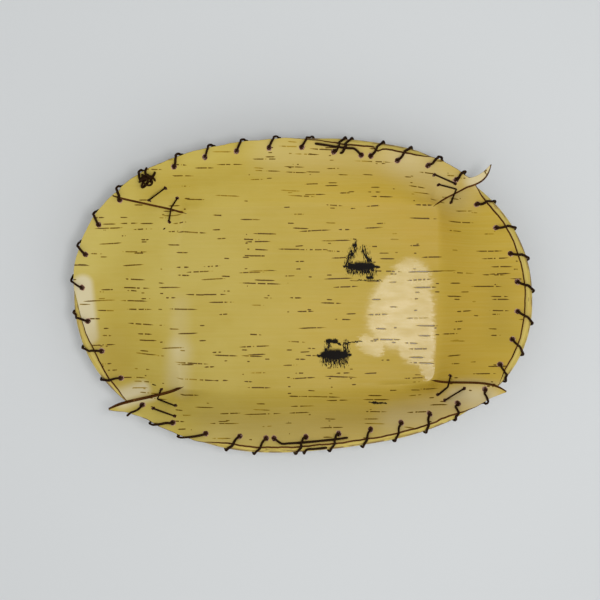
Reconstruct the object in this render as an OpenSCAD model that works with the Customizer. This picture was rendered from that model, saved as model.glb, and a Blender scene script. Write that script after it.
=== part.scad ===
// Oval tray of birch bark. One sheet is slit at four corners and folded up, so that the flaps of the
// long sides lap over the end walls. A hoop of two split withes lies under the rim, whipped on with
// three strands of split root, and a strand with two stitches holds each lapped corner.
// Millimetres. The origin is on the table under the middle of the rim, +X along the tray, +Z up.
// Corners are listed counter-clockwise from the one at +X +Y. Stitches count clockwise from the knot.

/* [Rim] */
// Length over the hoop
rim_l = 397; // [380:1:415]
// Width over the hoop
rim_w = 272; // [262:1:284]
// Height of the bark's underside at the rim
rim_h = 45; // [40:1:50]
// Squareness of the oval, where 2 is an ellipse
rim_square = 2.22; // [2.14:0.02:2.3]
// Three-lobed wander of the hand-bent oval
rim_egg = 1.1; // [0:0.1:2]
// Four-lobed wander of the hand-bent oval
rim_twist = 1.5; // [0:0.1:2.5]
// Bulge of the oval beside the first corner
rim_bulge = 4; // [1:0.5:6]

/* [Base] */
// Length of the flat base
base_l = 228; // [220:1:236]
// Width of the flat base
base_w = 160; // [154:1:166]
// Offset of the base along the tray
base_x = 6.5; // [3:0.5:8]
// Offset of the base across the tray
base_y = -1.5; // [-3:0.5:1]
// Turn of the base's long sides under the rim, in degrees
side_turn = 1.6; // [0.5:0.1:2.5]
// Turn of the base's ends under the rim, in degrees
end_turn = -1; // [-2:0.1:0]
// Squareness of the base's corners
base_square = 20; // [16:1:26]

/* [Bark] */
// Thickness of the bark
bark_t = 1.8; // [1.4:0.1:2.2]
// Softness of the crease round the base, as a share of the wall
crease = 0.15; // [0.1:0.01:0.2]
// Outward flare of the walls
flare = 0.5; // [0.4:0.02:0.6]
// Gap between lapped layers
lap_gap = 0.5; // [0.4:0.05:0.8]
// Hoop that shows outside the bark's edge where the hoop is bare
edge_bare = 6; // [4.5:0.25:7]
// Hoop that shows where the bark covers it
edge_covered = 0.8; // [0.4:0.1:1.5]

/* [Corners] */
// Direction of each flap's edge in plan, in degrees
flap_dir = [36.7, 167.8, 195.5, 352.7]; // [0:0.1:360]
// Distance by which each flap's tip goes past the rim's oval, along that direction
flap_past = [19.4, -1.7, 14.9, 7.2]; // [-6:0.1:24]
// Direction in which each flap's edge leaves its slit, in degrees
flap_start = [55, 154.5, 221, 326]; // [0:0.5:360]
// Direction in which each flap's tip points, in degrees
flap_end = [62, 165, 205, 325]; // [0:0.5:360]
// Lift of each flap's edge off the end wall
flap_lift = [1.8, 0.5, 0.8, 2]; // [0:0.1:3]
// Angle at the tray's middle by which the end wall runs on under each flap
lap_under = [7.2, 2.7, 2.7, 3.4]; // [2:0.1:9]

/* [Hoop] */
// Width of the withe, seen from above
hoop_w = 8; // [7:0.25:9]
// Height of the withe
hoop_t = 6.4; // [5.5:0.1:7.5]
// Width of the withe where the bark covers it
hoop_thin = 5; // [4.5:0.1:5.5]
// Distance by which the hoop is tucked in where the bark covers it
hoop_tuck = 0.8; // [0.4:0.1:1.2]
// Gap between the hoop and the bark
hoop_gap = 0.3; // [0.2:0.05:0.6]
// Length of each scarf that joins the two withes
scarf_l = 70; // [50:1:85]

/* [Lashing] */
// Stitches round the rim
stitch_count = 37; // [35:1:39]
// Angle of the first stitch, at the knot
stitch_first = 142.9; // [141:0.1:144]
// Diameter of the split root
root_d = 2.2; // [1.8:0.1:2.4]
// Clearance between a strand and what it binds
root_gap = 0.4; // [0.3:0.05:0.6]
// Distance of the awl holes inside the bark's edge
hole_edge = 6.5; // [5.5:0.25:7.5]
// Share of a stitch by which each turn leans onward over the rim
stitch_lean = 0.33; // [0.25:0.01:0.36]
// Gap between strands that cross
cross_gap = 0.7; // [0.6:0.05:1]

/* [Corner stitches] */
// Inner stitch: hole in the end wall, angle at the tray's middle from the corner, in degrees
end_hole_a = [-1.6, -6.2, -3.5, -4.6]; // [-8:0.1:-1]
// Inner stitch: hole in the end wall, share of the way from the base to the hoop
end_hole_s = [0.46, 0.24, 0.49, 0.34]; // [0.2:0.01:0.6]
// Inner stitch: hole in the flap, angle from the corner
flap_hole_a = [5.5, 2.9, 3.8, 3.5]; // [2:0.1:7]
// Inner stitch: hole in the flap, share of the way
flap_hole_s = [0.69, 0.4, 0.61, 0.52]; // [0.35:0.01:0.85]
// Outer stitch: hole nearer the tip, angle from the flap's edge
tip_hole_a = [2.1, 0.6, 3.4, 0.6]; // [0.5:0.1:5]
// Outer stitch: hole nearer the tip, share of the way
tip_hole_s = [0.78, 0.66, 0.91, 0.68]; // [0.6:0.01:1]
// Outer stitch: hole farther from the tip, angle from the corner
far_hole_a = [9.1, 3.6, 6.4, 4]; // [3:0.1:11]
// Outer stitch: hole farther from the tip, share of the way
far_hole_s = [0.85, 0.69, 0.85, 0.73]; // [0.6:0.01:1]

/* [Hidden] */

bark_colour = [0.74, 0.65, 0.36];
withe_colour = [0.75, 0.67, 0.38];
root_colour = [0.19, 0.15, 0.09];

bulge_at = 48;
bulge_span = 14;
cover_at = [135, 224, 39, 331];
cover_half = [38, 8, 4, 2];
cover_soft = [25, 12, 9, 9];
start_run = 13;
tip_run = 23;
under_run = 14;
under_in = 2.5;
slit_open = 24;
horn_span = [4, 12, 30, 20];
horn_power = 2;
under_span = 17;
lap_fade = 42;
lap_margin = 8;
lap_rise_run = 6;
lift_width = 7;
lift_hold = 0.8;
bend_share = 0.3;
row_crowd = 1.25;
past_rim_slope = 0.5;
side_steps = 30;
end_steps = 20;
wall_steps = 8;
rim_steps = 360;
root_sides = 6;
hoop_sides = 10;
hoop_step = 0.34;
drift_once = 0.31;
drift_twice = 0.105;
drift_at = [38, -60];
join_share = [0.19, 0.676];
back_join = floor(stitch_count * join_share[0]);
front_join = floor(stitch_count * join_share[1]);
back_pair = [-0.15, 0.15];
front_pair = [-0.05, 0.2];
reach = root_d / 2 + root_gap;
hole_d = root_d + 2 * root_gap;
hole_mouth = 0.6 * reach;
hole_bend = 1.6;
tip_keep = [4.4, 2.6];
stitch_back = 0.3;
hole_clear = 0.2;
steep_gap = 1.8;
lap_step = bark_t + lap_gap;
up = [0, 0, 1];

function ease(t) = let (c = max(0, min(1, t))) c * c * (3 - 2 * c);
function unit(v) = v / norm(v);
function mix(a, b, t) = a + (b - a) * t;
function polar(r, a) = [r * cos(a), r * sin(a)];
function angle_of(p) = atan2(p[1], p[0]);
function turn(a, b) = let (d = (a - b) % 360) d > 180 ? d - 360 : d < -180 ? d + 360 : d;
function solid(p, z) = [p[0], p[1], z];
function total(v, i = 0) = i < len(v) ? v[i] + total(v, i + 1) : 0;
function bezier(c, t) = pow(1 - t, 3) * c[0] + 3 * t * pow(1 - t, 2) * c[1] + 3 * t * t * (1 - t) * c[2]
    + pow(t, 3) * c[3];

// The rim's oval, and its frame: the outward normal and a spot a distance inside it
function rim_r(a) =
    let (along = abs(cos(a)) * 2 / rim_l, across = abs(sin(a)) * 2 / rim_w)
    pow(pow(along, rim_square) + pow(across, rim_square), -1 / rim_square)
    + rim_egg * cos(3 * a) - rim_twist * sin(4 * a)
    + rim_bulge * exp(-pow(turn(a, bulge_at) / bulge_span, 2));
function rim_p(a) = polar(rim_r(a), a);
function rim_t(a) = unit(rim_p(a - 0.5) - rim_p(a + 0.5));
function rim_n(a) = let (t = rim_t(a)) [-t[1], t[0]];
function spot(a, inset) = rim_p(a) - inset * rim_n(a);

// The flat base, four straight sides with soft corners, in polar form
function side_dir(k) = 90 * k + (k % 2 == 0 ? end_turn : side_turn);
function side_off(k) = (k % 2 == 0 ? base_l : base_w) / 2 + [base_x, base_y] * polar(1, side_dir(k));
function base_side(a, k) = max(0, cos(a - side_dir(k))) / side_off(k);
function base_r(a) = pow(total([for (k = [0:3]) pow(base_side(a, k), base_square)]), -1 / base_square);

// The wall: its height over a plan point, and its normal
crease_top = sqrt(1 + crease * crease) - crease;
rim_slope = (1 - flare) / (sqrt(1 + crease * crease) * crease_top);
function rise(t) = let (q = (sqrt(t * t + crease * crease) - crease) / crease_top) q * (1 + flare * (1 - q));
function wall_share(p) = let (a = angle_of(p), b = base_r(a)) max(0, (norm(p) - b) / (rim_r(a) - b));
function wall_z(p) =
    let (t = wall_share(p))
    rim_h * (t < 1 ? rise(t) : 1 + past_rim_slope * rim_slope * (t - 1));
function wall_slope(p, e = 0.05) =
    [wall_z(p + [e, 0]) - wall_z(p - [e, 0]), wall_z(p + [0, e]) - wall_z(p - [0, e])] / (2 * e);
function wall_normal(p) = let (g = wall_slope(p)) unit([-g[0], -g[1], 1]);

// How bare the hoop is at an angle, and how far the bark's edge lies inside the hoop's outer face
function cover(a, k) = ease((cover_half[k] + cover_soft[k] - abs(turn(a, cover_at[k]))) / cover_soft[k]);
function covered(a) = max([for (k = [0:3]) cover(a, k)]);
function edge_in(a) = mix(edge_bare, edge_covered, covered(a));
function edge_r(a) = rim_r(a) - edge_in(a) / (rim_n(a) * polar(1, a));

// Each corner: the slit's inner end, the flap's edge and the end wall's edge under it
lap_side = [1, -1, 1, -1];
corner_a = [for (k = [0:3])
    let (n = (k + 1) % 4, a = side_dir(k), b = side_dir(n), c = side_off(k), d = side_off(n))
    angle_of([c * sin(b) - d * sin(a), d * cos(a) - c * cos(b)])];
slit = [for (a = corner_a) polar(base_r(a), a)];
function past_rim(p) = norm(p) > rim_r(angle_of(p));
function rim_reach(p, way, low = 0, high = rim_l, turns = 30) =
    let (half = (low + high) / 2)
    turns == 0 ? half :
    past_rim(p + half * way) ? rim_reach(p, way, low, half, turns - 1)
    : rim_reach(p, way, half, high, turns - 1);
flap_len = [for (k = [0:3]) rim_reach(slit[k], polar(1, flap_dir[k])) + flap_past[k]];
tip = [for (k = [0:3]) slit[k] + polar(flap_len[k], flap_dir[k])];
under_end = [for (k = [0:3])
    let (a = corner_a[k] + lap_side[k] * lap_under[k])
    polar(edge_r(a) - under_in, a)];
under_dir = [for (k = [0:3]) angle_of(under_end[k] - slit[k])];
flap_curve = [for (k = [0:3])
    [slit[k], slit[k] + polar(start_run, flap_start[k]), tip[k] - polar(tip_run, flap_end[k]), tip[k]]];
under_curve = [for (k = [0:3])
    [slit[k], slit[k] + polar(start_run, flap_start[k] - lap_side[k] * slit_open),
        under_end[k] - polar(under_run, under_dir[k]), under_end[k]]];

// How high a long side's sheet lies over the end wall's sheet at a plan point
function flap_way(p, k) = min(1, norm(p - slit[k]) / flap_len[k]);
function flap_depth(p, k) =
    let (b = bezier(flap_curve[k], flap_way(p, k)) - slit[k], d = p - slit[k])
    lap_side[k] * norm(d) * sin(angle_of(d) - angle_of(b));
function flap_z(p, k) =
    norm(p - slit[k]) < 0.01 ? 0 :
    let (d = p - slit[k],
        past = lap_side[k] * turn(angle_of(d), under_dir[k]),
        full = 1 - ease((past - lap_margin) / lap_fade),
        run = ease((norm(d) - 1) / lap_rise_run),
        near = exp(-pow(flap_depth(p, k) / lift_width, 2)))
    lap_step / wall_normal(p)[2] * full * run
    + flap_lift[k] * near * pow(sin(180 * min(lift_hold, flap_way(p, k))), 2);
function on_flap(p, k) =
    let (b = bezier(flap_curve[k], flap_way(p, k)))
    norm(p - slit[k]) > 1 && lap_side[k] * turn(angle_of(p), angle_of(b)) > 0;
function sheet_lift(p) = max([for (k = [0:3]) on_flap(p, k) ? flap_z(p, k) : 0]);

// Points on the line through the wall at a plan point, above the top sheet and below the bottom one
function above(p, lift, h) =
    let (n = wall_normal(p))
    solid(p, wall_z(p) + bark_t) + (lift * n[2] + h) * n;
function below(p, h) = solid(p, wall_z(p) + bark_t) - (bark_t + h) * wall_normal(p);

// The sheet: a ring round the base and four walls, each a grid between its two cut edges
wall_columns = [side_steps, end_steps, side_steps, end_steps];
function is_side(k) = k % 2 == 0;
function cut_edge(k, c) = is_side(k) ? flap_curve[c] : under_curve[c];
function spread(u) = (1 - cos(180 * u)) / 2;
function edge_out(k, c, a) =
    let (p = cut_edge(k, c)[3],
        d = norm(p) * abs(turn(a, angle_of(p))) * PI / 180,
        span = is_side(k) ? horn_span[c] : under_span)
    (norm(p) - edge_r(angle_of(p))) * pow(max(0, 1 - d / span), horn_power);
function rim_edge(k, a) = polar(edge_r(a) + edge_out(k, k, a) + edge_out(k, (k + 1) % 4, a), a);
function wall_plan(k, u, v) =
    let (n = (k + 1) % 4,
        m = spread(u),
        e0 = cut_edge(k, k),
        e1 = cut_edge(k, n),
        a0 = angle_of(e0[3]),
        b0 = corner_a[k],
        b = b0 + m * ((corner_a[n] - b0 + 720) % 360),
        a = a0 + m * ((angle_of(e1[3]) - a0 + 720) % 360),
        foot = polar(base_r(b), b),
        bend0 = (bezier(e0, v) - mix(e0[0], e0[3], v)) * pow(max(0, 1 - m / bend_share), 2),
        bend1 = (bezier(e1, v) - mix(e1[0], e1[3], v)) * pow(max(0, 1 - (1 - m) / bend_share), 2))
    mix(foot, rim_edge(k, a), v) + bend0 + bend1;
function wall_lift(k, p) = is_side(k) ? max(flap_z(p, k), flap_z(p, (k + 1) % 4)) : 0;
function row_share(j) = pow(j / wall_steps, row_crowd);

ring_count = total(wall_columns);
ring_start = [0, side_steps, side_steps + end_steps, 2 * side_steps + end_steps];
grid_start = [for (k = [0:3]) ring_count + (ring_start[k] + k) * wall_steps];
function at(k, i, j) =
    j == 0 ? (ring_start[k] + i) % ring_count : grid_start[k] + i * wall_steps + j - 1;

sheet_plan = concat(
    [for (k = [0:3]) for (i = [0:wall_columns[k] - 1]) [k, wall_plan(k, i / wall_columns[k], 0), 0]],
    [for (k = [0:3]) for (i = [0:wall_columns[k]]) for (j = [1:wall_steps])
        [k, wall_plan(k, i / wall_columns[k], row_share(j)), j]]);
sheet_top = [for (s = sheet_plan)
    solid(s[1], bark_t + (s[2] == 0 ? 0 : wall_z(s[1]) + wall_lift(s[0], s[1])))];
sheet_under = [for (i = [0:len(sheet_plan) - 1])
    sheet_top[i] - bark_t * (sheet_plan[i][2] == 0 ? up : wall_normal(sheet_plan[i][1]))];

function sheet_faces(v) = concat(
    [[for (i = [ring_count - 1:-1:0]) i], [for (i = [0:ring_count - 1]) i + v]],
    [for (k = [0:3]) for (i = [0:wall_columns[k] - 1]) for (j = [0:wall_steps - 1])
        let (a = at(k, i, j), b = at(k, i + 1, j), c = at(k, i + 1, j + 1), d = at(k, i, j + 1))
        each [[a, b, c], [a, c, d], [a + v, c + v, b + v], [a + v, d + v, c + v]]],
    [for (k = [0:3]) for (i = [0:wall_columns[k] - 1])
        let (d = at(k, i, wall_steps), c = at(k, i + 1, wall_steps))
        each [[d, c, c + v], [d, c + v, d + v]]],
    [for (k = [0:3]) for (j = [0:wall_steps - 1])
        let (n = wall_columns[k], a = at(k, 0, j), d = at(k, 0, j + 1), b = at(k, n, j), c = at(k, n, j + 1))
        each [[a, d, d + v], [a, d + v, a + v], [c, b, b + v], [c, b + v, c + v]]]);

// How far the edge of the top sheet lies inside the hoop's outer face, flap tips and all
function horn(a, k) = lap_side[k] * turn(a, angle_of(tip[k])) < 0 ? 0 : edge_out(2 * floor(k / 2), k, a);
function bark_in(a) = edge_in(a) - max([for (k = [0:3]) horn(a, k)]);

// Places along the rim: a stitch's number, whole or not, gives its angle by even steps with a slow drift
rim_walk = [for (i = 0, s = 0; i <= rim_steps;
    s = s + norm(rim_p(stitch_first - 360 * (i + 1) / rim_steps) - rim_p(stitch_first - 360 * i / rim_steps)),
    i = i + 1) [s, -360 * i / rim_steps]];
rim_around = rim_walk[rim_steps][0];
stitch_step = rim_around / stitch_count;
function drift(j) = drift_once * cos(360 * j / stitch_count - drift_at[0])
    + drift_twice * cos(720 * j / stitch_count - drift_at[1]);
function rim_a(j) =
    let (f = (j + drift(j) - drift(0)) / stitch_count, whole = floor(f))
    stitch_first - 360 * whole + lookup((f - whole) * rim_around, rim_walk);

// A stitch that would land on a flap's tip past the rim is moved to the nearer side of the tip
function tip_off(a, k) = lap_side[k] * turn(a, angle_of(tip[k]));
function nudge(a, k) =
    let (d = tip_off(a, k))
    flap_past[k] < 0 || d < -tip_keep[0] || d > tip_keep[1] ? 0 :
    lap_side[k] * ((d < (tip_keep[1] - tip_keep[0]) / 2 ? -tip_keep[0] : tip_keep[1]) - d);
function stitch_a(j) =
    let (a = rim_a(floor(j + stitch_back)))
    rim_a(j) + total([for (k = [0:3]) nudge(a, k)]);
function hoop_free(a) = hoop_in(a) + hoop_half(a) + reach + hole_clear;
function hole_in(a) = max(bark_in(a) + hole_edge, hoop_free(a));
function stitch_hole(j) = let (a = stitch_a(j)) spot(a, hole_in(a));

// The hoop: its middle line under the bark, and points on it or at a distance off it
function hoop_half(a) = mix(hoop_w, hoop_thin, covered(a)) / 2;
function hoop_in(a) = hoop_half(a) + hoop_tuck * covered(a);
function hoop_mid(a) =
    let (p = spot(a, hoop_in(a)), n = wall_normal(p), slope = norm([n[0], n[1]]) / n[2])
    solid(p, wall_z(p) + bark_t - bark_t / n[2] - norm([hoop_t / 2, slope * hoop_half(a)])
        - hoop_gap * (1 + steep_gap * slope * slope));
function hoop_off(a, x, z) = let (n = rim_n(a)) hoop_mid(a) + x * solid(n, 0) + z * up;
function hoop_round(a, up_by, off) =
    hoop_off(a, (hoop_half(a) + off) * cos(up_by), (hoop_t / 2 + off) * sin(up_by));

scarf_half = scarf_l / stitch_step / 2;
scarf_mid = [back_join - 1, front_join - 1];
scarf_gap = 0.3;
scarf_tip = 0.8;
scarf_past = 1.001;
scarf_crown = 0.1;

// Height of the scarf's cut in the withe, from -1 at its bottom to 1 at its top, or past those off the scarf
function scarf_cut(j) =
    let (back = (scarf_mid[0] - j) / scarf_half, front = (j - scarf_mid[1]) / scarf_half)
    abs(back) < scarf_past ? scarf_tip * back : abs(front) < scarf_past ? scarf_tip * front : 2;
function hoop_ring(j, upper) =
    let (a = rim_a(j), side = upper ? 1 : -1,
        cut = scarf_cut(j > scarf_mid[1] + scarf_half ? j - stitch_count : j),
        level = max(-1, min(1, cut + side * scarf_gap / hoop_t)),
        start = asin(level),
        arc = 180 + side * 2 * start)
    [for (i = [0:hoop_sides - 1])
        let (t = -360 * (i + 0.5) / hoop_sides,
            s = (side * (start - t) + 720) % 360,
            f = s / arc,
            off = cut < 1 && s < arc)
        hoop_off(a, hoop_half(a) * (off ? cos(start) * (1 - 2 * f) : cos(t)),
            hoop_t / 2 * (off ? level - side * scarf_crown * f * (1 - f) : sin(t)))];

// A skin over rings of points, closed at both ends
module skin(rings) {
    n = len(rings[0]);
    last = len(rings) - 1;
    polyhedron([for (r = rings) each r], concat(
        [for (i = [0:last - 1]) for (s = [0:n - 1])
            let (a = i * n + s, b = i * n + (s + 1) % n)
            each [[a, b, b + n], [a, b + n, a + n]]],
        [for (s = [1:n - 2]) each [[0, s + 1, s], [last * n, last * n + s, last * n + s + 1]]]));
}

// Rings of a round strand along a path, with one direction carried along it
function path_way(path, i) = unit(path[min(i + 1, len(path) - 1)] - path[max(i - 1, 0)]);
function carry(v, way) = unit(v - (v * way) * way);
function strand_rings(path) =
    let (sides = [for (i = 0, v = carry([0.3, 0.2, 0.93], path_way(path, 0)); i < len(path);
        i = i + 1, v = carry(v, path_way(path, min(i, len(path) - 1)))) v])
    [for (i = [0:len(path) - 1])
        let (w = path_way(path, i), v = sides[i], u = cross(w, v))
        [for (s = [0:root_sides - 1])
            let (t = -360 * s / root_sides)
            path[i] + root_d / 2 * (cos(t) * v + sin(t) * u)]];

// A stitch: up through its hole, over the bark's edge and the hoop, and on under the hoop
function skim(p, way) = let (n = wall_normal(p), w = solid(way, 0)) unit(w - (w * n) * n);
function plumb(p, lift, h) = solid(p, wall_z(p) + bark_t + lift + h / wall_normal(p)[2]);
function hole_up(p, lift, from, to) = [
    plumb(p, 0, -bark_t - reach) - hole_bend * skim(p, p - from),
    plumb(p, 0, -bark_t - hole_mouth),
    plumb(p, lift, hole_mouth),
    plumb(p, lift, reach) + hole_bend * skim(p, to - p)];
function lean(j) =
    let (a = stitch_a(j), ahead = min([for (k = [0, 2]) let (d = turn(a, angle_of(tip[k]))) d < 0 ? 90 : d]))
    stitch_lean * mix(tip_lean, 1, ease((ahead - tip_near) / tip_near));
function edge_a(j) = stitch_a(j + edge_lean * lean(j));
function edge_spot(j) = let (a = edge_a(j)) spot(a, bark_in(a));
function edge_off(a, lift, rise, out) =
    let (p = spot(a, bark_in(a)))
    solid(p, wall_z(p) + bark_t + lift) + rise * wall_normal(p) + out * skim(p, rim_n(a));
function run_lift(j) = max(sheet_lift(stitch_hole(j)), sheet_lift(edge_spot(j)));
function stitch_up(j, before) = hole_up(stitch_hole(j), run_lift(j), stitch_hole(before), edge_spot(j));
function outer_turn(j, k, lift) =
    let (a = stitch_a(j + lean(j) * turn_lean[k]),
        round_hoop = hoop_round(a, turn_up[k], reach),
        round_edge = edge_off(a, lift, -bark_t - 0.6 * reach, 0.8 * reach))
    k == 0 && (round_hoop - round_edge) * solid(rim_n(a), 0) < 0 ? round_edge : round_hoop;
function edge_run(j, extra = 0) =
    let (lift = run_lift(j), a = edge_a(j))
    concat(
        [edge_off(a, lift, reach + extra, 0.5 * reach), edge_off(a, lift, -0.4 * bark_t, 1.1 * reach)],
        [for (k = [0:len(turn_up) - 1]) outer_turn(j, k, lift)]);
function stitch_over(j, extra = 0) =
    let (p = stitch_hole(j), e = edge_spot(j))
    concat([for (t = extra > 0 ? [0.35, 0.7] : [0.6]) above(mix(p, e, t), run_lift(j), reach + extra)],
        edge_run(j, extra));
function stitches(first, last, raised) =
    [for (j = [first:last]) each concat(stitch_up(j, j - 1), stitch_over(j, j >= raised ? over_lift : 0))];
over_lift = root_d + cross_gap;
turn_up = [62, 20, -15, -50, -90, -135];
turn_lean = [0.8, 0.95, 1.05, 1.15, 1.35, 1.6];
edge_lean = 0.6;
tip_lean = 0.3;
tip_near = 5;

// A tail that comes up through a hole and runs back along the bark's edge, under the last stitches
tail_in = 1.9;
tail_turn = 0.2;
function tail_spot(j) = let (a = stitch_a(j)) spot(a, bark_in(a) + tail_in);
function tail_back(from, to, steps) = concat(
    hole_up(stitch_hole(from), run_lift(from), stitch_hole(from - 1), tail_spot(from - tail_turn)),
    [for (i = [0:steps])
        let (p = tail_spot(mix(from - tail_turn, to, i / steps)))
        above(p, sheet_lift(p), reach)]);

// The knot: an overhand knot that lies on the bark inside the first stitch, with a short tail
knot_size = 1.85;
knot_rise = 2.1;
knot_in = 5.2;
knot_first = 205;
knot_last = 515;
knot_steps = 17;
knot_tail = [[-4.8, -3, 0.3], [-3, -4.7, 1], [-0.6, -5.1, 1], [1.1, -4.7, 1]];
function knot_point(v) =
    let (a = stitch_a(0), p = spot(a, edge_in(a) + knot_in), n = wall_normal(p), x = solid(rim_t(a), 0),
        y = unit(cross(n, x)))
    above(p, sheet_lift(p), reach + knot_rise) + v[0] * x - v[1] * y + knot_rise * v[2] * n;
function knot_loop(t) = [
    knot_size * (sin(t) + 2 * sin(2 * t)), knot_size * (cos(t) - 2 * cos(2 * t)), -sin(3 * t)];
knot = concat([for (v = knot_tail) knot_point(v)],
    [for (i = [0:knot_steps]) knot_point(knot_loop(mix(knot_first, knot_last, i / knot_steps)))]);

// The three rim strands
knot_side = 0.3;
start_side = 0.2;
inner_run = 4;
tail_up = 70;
tail_end = 0.92;
tail_creep = 0.0005;
double_j = back_join - 1 + start_side;
hoop_tail = [for (j = [-1.6:0.2:-0.9]) hoop_round(stitch_a(front_join + j), tail_up, reach)];
hoop_tail_turn = [for (t = [40, 0, -40, -80, -120])
    hoop_round(stitch_a(front_join - tail_end - tail_creep * t), t, reach)];
last_hole = stitch_hole(stitch_count - knot_side);
last_way = unit(last_hole - spot(stitch_a(stitch_count - knot_side), 0));
strand_a = concat(knot, edge_run(-0.2), stitches(1, back_join - 1, back_join - 1),
    tail_back(back_join + back_pair[0], back_join - 1.55, 6));
strand_b = concat([above(stitch_hole(double_j), run_lift(double_j), reach)], stitch_over(double_j, over_lift),
    stitch_up(back_join + back_pair[1], back_join - 1), stitch_over(back_join + back_pair[1]),
    stitches(back_join + 1, front_join - 1, front_join - 2),
    tail_back(front_join + front_pair[0], front_join - 2.25, 10));
strand_c = concat(hoop_tail, hoop_tail_turn,
    [for (j = [-0.65, -0.05])
        let (a = stitch_a(front_join + j))
        below(spot(a, hole_in(a) + inner_run), reach)],
    stitch_up(front_join + front_pair[1], front_join - 1), stitch_over(front_join + front_pair[1]),
    stitches(front_join + 1, stitch_count - 1, stitch_count),
    hole_up(last_hole, sheet_lift(last_hole), stitch_hole(stitch_count - 1), last_hole + last_way),
    [for (s = [4, 7]) above(last_hole + s * last_way, sheet_lift(last_hole + s * last_way), reach)]);

// The corner strands: a place on the wall beside a corner, clear of the hoop, and the route through the holes
function wall_spot(a, share) = mix(polar(base_r(a), a), spot(a, hoop_free(a)), share);
function corner_spot(k, off, share) = wall_spot(corner_a[k] + lap_side[k] * off, share);
function flap_spot(k, off, share) =
    let (way = flap_way(wall_spot(corner_a[k], share), k))
    wall_spot(angle_of(bezier(flap_curve[k], way)) + lap_side[k] * off, share);
function corner_holes(k) = [
    corner_spot(k, end_hole_a[k], end_hole_s[k]), corner_spot(k, flap_hole_a[k], flap_hole_s[k]),
    flap_spot(k, tip_hole_a[k], tip_hole_s[k]), corner_spot(k, far_hole_a[k], far_hole_s[k])];
function down_run(p, q) = [for (t = [0.3, 0.7]) below(mix(p, q, t), reach)];
function over_run(p, q, k) = [for (t = [0.3, 0.5, 0.7]) above(mix(p, q, t), flap_z(mix(p, q, t), k), reach)];
function reversed(v) = [for (i = [len(v) - 1:-1:0]) v[i]];
corner_tail = 8;
function corner_path(k) =
    let (h = corner_holes(k), lift = [for (p = h) sheet_lift(p)],
        first = h[0] + corner_tail * unit(h[0] - h[1]),
        last = h[3] + corner_tail * unit(0.6 * unit(h[3] - h[2]) - unit(h[3])))
    concat(
        [below(first, reach)], hole_up(h[0], lift[0], first, h[1]), over_run(h[0], h[1], k),
        reversed(hole_up(h[1], lift[1], h[2], h[0])), down_run(h[1], h[2]),
        hole_up(h[2], lift[2], h[1], h[3]), over_run(h[2], h[3], k),
        reversed(hole_up(h[3], lift[3], last, h[2])), [below(last, reach)]);

// Awl holes, one wherever a strand passes through the bark
rim_holes = concat(
    [for (j = [1:stitch_count - 1]) if (j != back_join && j != front_join) stitch_hole(j)],
    [for (d = back_pair) stitch_hole(back_join + d)],
    [for (d = front_pair) stitch_hole(front_join + d)],
    [last_hole]);
hole_reach = 8;

module awl_hole(p)
    translate(plumb(p, 0, 0) - hole_reach * up)
        cylinder(d = hole_d, h = 2 * hole_reach, $fn = 12);

// The holes are cut in the sheet's own triangles: a resize to nothing keeps its size and makes it one mesh
module bark_sheet() {
    color(bark_colour)
        resize([0, 0, 0])
            difference() {
                polyhedron(concat(sheet_top, sheet_under), sheet_faces(len(sheet_top)), convexity = 8);
                for (p = rim_holes) awl_hole(p);
                for (k = [0:3]) for (p = corner_holes(k)) awl_hole(p);
            }
}

// A withe from one stitch number to another, over or under the other withe at its scarfs
module withe(first, last, upper) {
    steps = ceil((last - first) / hoop_step);
    color(withe_colour)
        skin([for (i = [0:steps]) hoop_ring(mix(first, last, i / steps), upper)]);
}

module strand(path) {
    color(root_colour)
        skin(strand_rings(path));
}

module rim_hoop_left() withe(scarf_mid[1] - scarf_half, scarf_mid[0] + stitch_count + scarf_half, false);
module rim_hoop_right() withe(scarf_mid[0] - scarf_half, scarf_mid[1] + scarf_half, true);
module rim_lashing_a() strand(strand_a);
module rim_lashing_b() strand(strand_b);
module rim_lashing_c() strand(strand_c);
module corner_stitch_1() strand(corner_path(0));
module corner_stitch_2() strand(corner_path(1));
module corner_stitch_3() strand(corner_path(2));
module corner_stitch_4() strand(corner_path(3));

// Least gap of each rim strand to itself, between points more than a few diameters apart along it
function least_gap(path, apart = 4) =
    min([for (i = [0:len(path) - 1]) for (j = [i + apart:1:len(path) - 1])
        let (d = norm(path[i] - path[j])) if (d < 4 * root_d) d]) - root_d;
for (s = [["a", strand_a], ["b", strand_b], ["c", strand_c]])
    echo(str("least gap of rim strand ", s[0], " to itself: ", least_gap(s[1]), " mm"));

bark_sheet();
rim_hoop_left();
rim_hoop_right();
rim_lashing_a();
rim_lashing_b();
rim_lashing_c();
corner_stitch_1();
corner_stitch_2();
corner_stitch_3();
corner_stitch_4();
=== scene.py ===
"""Birch bark tray: a folded sheet, a withe hoop and root lashings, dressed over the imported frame."""

import bpy
import numpy as np
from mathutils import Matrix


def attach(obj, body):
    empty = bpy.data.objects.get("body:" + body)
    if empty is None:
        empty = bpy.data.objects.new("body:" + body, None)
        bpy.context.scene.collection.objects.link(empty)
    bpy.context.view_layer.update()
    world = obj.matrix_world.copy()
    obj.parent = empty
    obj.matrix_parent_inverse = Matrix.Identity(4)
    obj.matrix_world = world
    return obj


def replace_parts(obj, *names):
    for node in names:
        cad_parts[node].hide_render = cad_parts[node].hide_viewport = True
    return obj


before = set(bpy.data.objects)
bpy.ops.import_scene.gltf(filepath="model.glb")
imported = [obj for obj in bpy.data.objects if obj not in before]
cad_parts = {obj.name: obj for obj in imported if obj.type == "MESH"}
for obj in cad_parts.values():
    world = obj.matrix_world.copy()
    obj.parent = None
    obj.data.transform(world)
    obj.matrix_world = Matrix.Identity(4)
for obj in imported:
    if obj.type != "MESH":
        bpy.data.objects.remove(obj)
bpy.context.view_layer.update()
rng = np.random.default_rng(11)
MM = 0.001

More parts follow.
